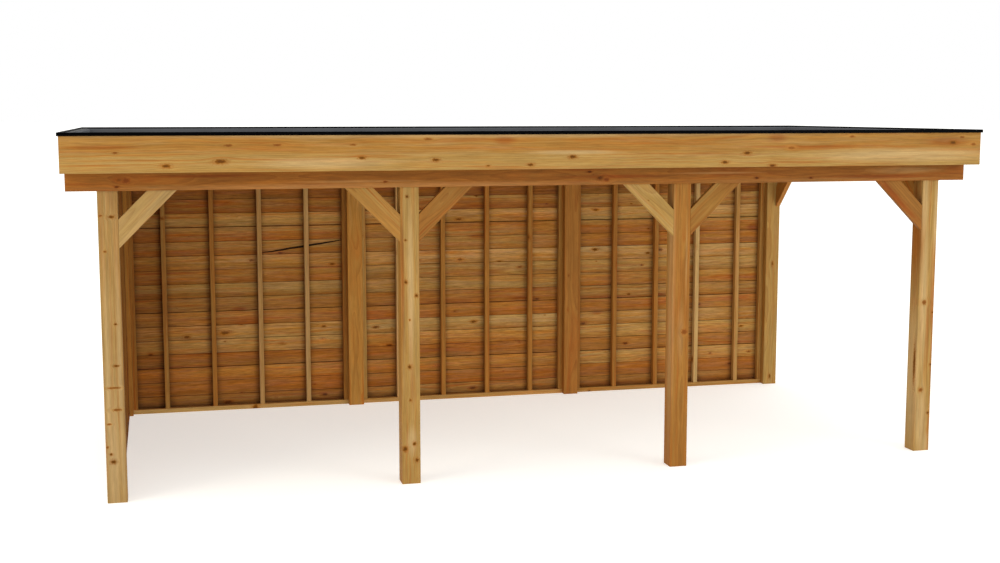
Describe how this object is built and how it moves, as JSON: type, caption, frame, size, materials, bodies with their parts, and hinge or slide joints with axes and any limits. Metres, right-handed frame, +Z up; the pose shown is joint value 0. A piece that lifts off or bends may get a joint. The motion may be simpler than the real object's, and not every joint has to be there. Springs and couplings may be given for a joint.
{
  "type": "freestanding veranda",
  "caption": "Freestanding flat-roofed timber veranda on square posts with knee braces, a boarded back wall and left side, an open front and an open right side.",
  "frame": {"origin": "on the ground, under the middle of the roof's outline", "axes": "+Z up, +X along the front towards the open side, +Y from the open front to the boarded back wall"},
  "size_m": [7.553, 3.719, 2.84],
  "materials": {
    "posts_and_braces": "planed Douglas fir, honey brown",
    "beams": "planed Douglas fir, red-brown",
    "fascia_boards": "planed Douglas fir, straw brown",
    "framing": "sawn Douglas fir",
    "wall_boards": "sawn Douglas fir boards, mixed browns",
    "roof_sheet": "smooth dark grey roofing sheet",
    "roof_edge": "black coated aluminium"
  },
  "bodies": {
    "root": {"post_front_1": "posts_and_braces", "post_front_2": "posts_and_braces", "post_front_3": "posts_and_braces", "post_front_4": "posts_and_braces", "post_back_1": "posts_and_braces", "post_back_2": "posts_and_braces", "post_back_3": "posts_and_braces", "post_back_4": "posts_and_braces", "beam_front": "beams", "beam_back": "beams", "beam_left": "beams", "beam_right": "beams", "brace_front_1": "posts_and_braces", "brace_front_2": "posts_and_braces", "brace_front_3": "posts_and_braces", "brace_front_4": "posts_and_braces", "brace_front_5": "posts_and_braces", "brace_front_6": "posts_and_braces", "brace_right_1": "posts_and_braces", "brace_right_2": "posts_and_braces", "sole_plates_back": "framing", "top_plates_back": "framing", "studs_back_1": "framing", "studs_back_2": "framing", "studs_back_3": "framing", "cladding_back_1": "wall_boards", "cladding_back_2": "wall_boards", "cladding_back_3": "wall_boards", "sole_plate_left": "framing", "top_plate_left": "framing", "studs_left": "framing", "cladding_left": "wall_boards", "rafters": "framing", "roof_deck": "framing", "kerb_long": "framing", "kerb_short": "framing", "roof_membrane": "roof_sheet", "fascia_front": "fascia_boards", "fascia_back": "fascia_boards", "fascia_left": "fascia_boards", "fascia_right": "fascia_boards", "trim_front": "roof_edge", "trim_back": "roof_edge", "trim_left": "roof_edge", "trim_right": "roof_edge"}
  },
  "joints": []
}
